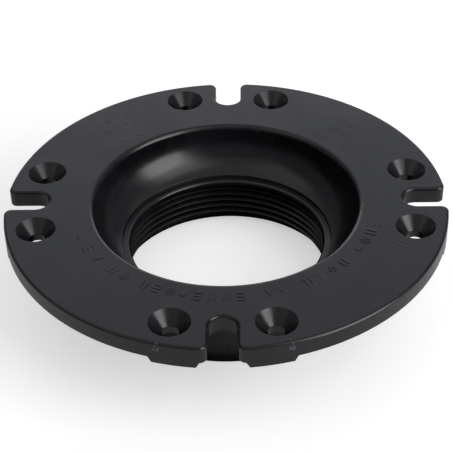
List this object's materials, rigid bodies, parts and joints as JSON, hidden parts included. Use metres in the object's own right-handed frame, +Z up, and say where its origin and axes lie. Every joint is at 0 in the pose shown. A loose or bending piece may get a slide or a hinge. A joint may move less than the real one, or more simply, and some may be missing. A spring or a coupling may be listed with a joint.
{
  "type": "toilet flange",
  "caption": "Round floor flange with a dished bowl, open bolt slots, countersunk screw holes and a female-threaded hub below.",
  "frame": {"origin": "centre of the hub's lower end, in the plane that the loose part stands on", "axes": "+Z up the flange's axis, from the pipe to the toilet; bolt slots on +X, -X, +Y and -Y"},
  "size_m": [0.177, 0.177, 0.043],
  "materials": {
    "black_abs": "satin, moulded"
  },
  "bodies": {
    "root": {"flange_body": "black_abs", "threaded_hub": "black_abs"}
  },
  "joints": []
}
